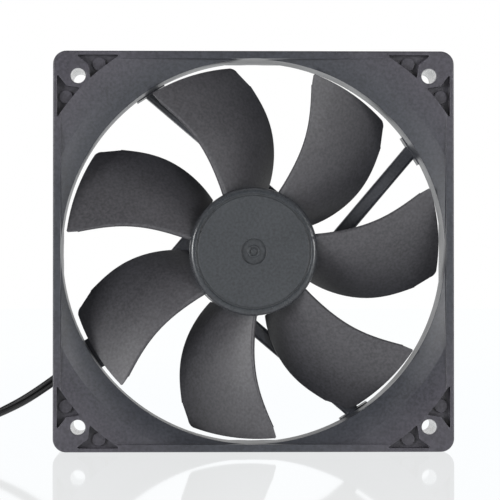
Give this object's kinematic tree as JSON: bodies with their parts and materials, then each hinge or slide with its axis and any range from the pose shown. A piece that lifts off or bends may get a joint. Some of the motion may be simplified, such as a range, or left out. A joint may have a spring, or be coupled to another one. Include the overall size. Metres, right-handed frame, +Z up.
{
  "type": "case fan",
  "caption": "Square axial cooling fan for a computer case: a bladed rotor on a sleeve bearing in an open frame with struts, screw holes and a wire lead.",
  "frame": {"origin": "on the surface the fan stands on, under the middle of its frame, with the lead left out of account", "axes": "+Y along the fan's axis from the intake side to the outlet side, +Z up, +X to the right as seen from the intake side"},
  "size_m": [0.1782, 0.0403, 0.12],
  "materials": {
    "frame": "moulded black plastic, satin",
    "impeller": "moulded black plastic, satin",
    "magnet": "bonded ferrite, matt",
    "steel": "ground steel",
    "yoke": "drawn and zinc-plated sheet steel",
    "brass": "turned brass",
    "bearing": "oil-filled sintered bronze",
    "core": "stacked silicon steel sheet",
    "bobbin": "white nylon",
    "copper": "enamelled copper wire",
    "board": "solder-masked glass-fibre board",
    "chip": "black epoxy",
    "capacitor": "fired ceramic",
    "solder": "bright solder",
    "nylon": "natural nylon",
    "label": "silver-grey film with no print",
    "wire": "black PVC insulation, semi-gloss",
    "tie": "black nylon",
    "connector": "black nylon, satin",
    "contact": "tin-plated phosphor bronze"
  },
  "bodies": {
    "frame": {"frame_housing": "frame", "bearing_tube": "brass", "sleeve_bearing": "bearing", "dust_washer": "nylon", "wear_pad": "nylon", "stator_core": "core", "front_bobbin": "bobbin", "rear_bobbin": "bobbin", "winding_1": "copper", "winding_2": "copper", "winding_3": "copper", "winding_4": "copper", "winding_pins": "contact", "circuit_board": "board", "hall_driver_chip": "chip", "filter_capacitor": "capacitor", "polarity_diode": "chip", "chip_resistor": "chip", "solder_joints": "solder", "rear_label": "label", "strut_wire_1": "wire", "strut_wire_2": "wire", "lead_free": "wire", "lead_coil": "wire", "lead_tail": "wire", "lead_tie": "tie", "connector_housing": "connector", "connector_contacts": "contact"},
    "rotor": {"impeller": "impeller", "rotor_yoke": "yoke", "ring_magnet": "magnet", "shaft": "steel", "shaft_bush": "brass", "retaining_clip": "nylon"}
  },
  "joints": [
    {"name": "rotor_spin", "type": "hinge", "parent": "frame", "child": "rotor", "pos_m": [0, 0, 0.06], "axis": [0, 1, 0], "continuous": true}
  ]
}
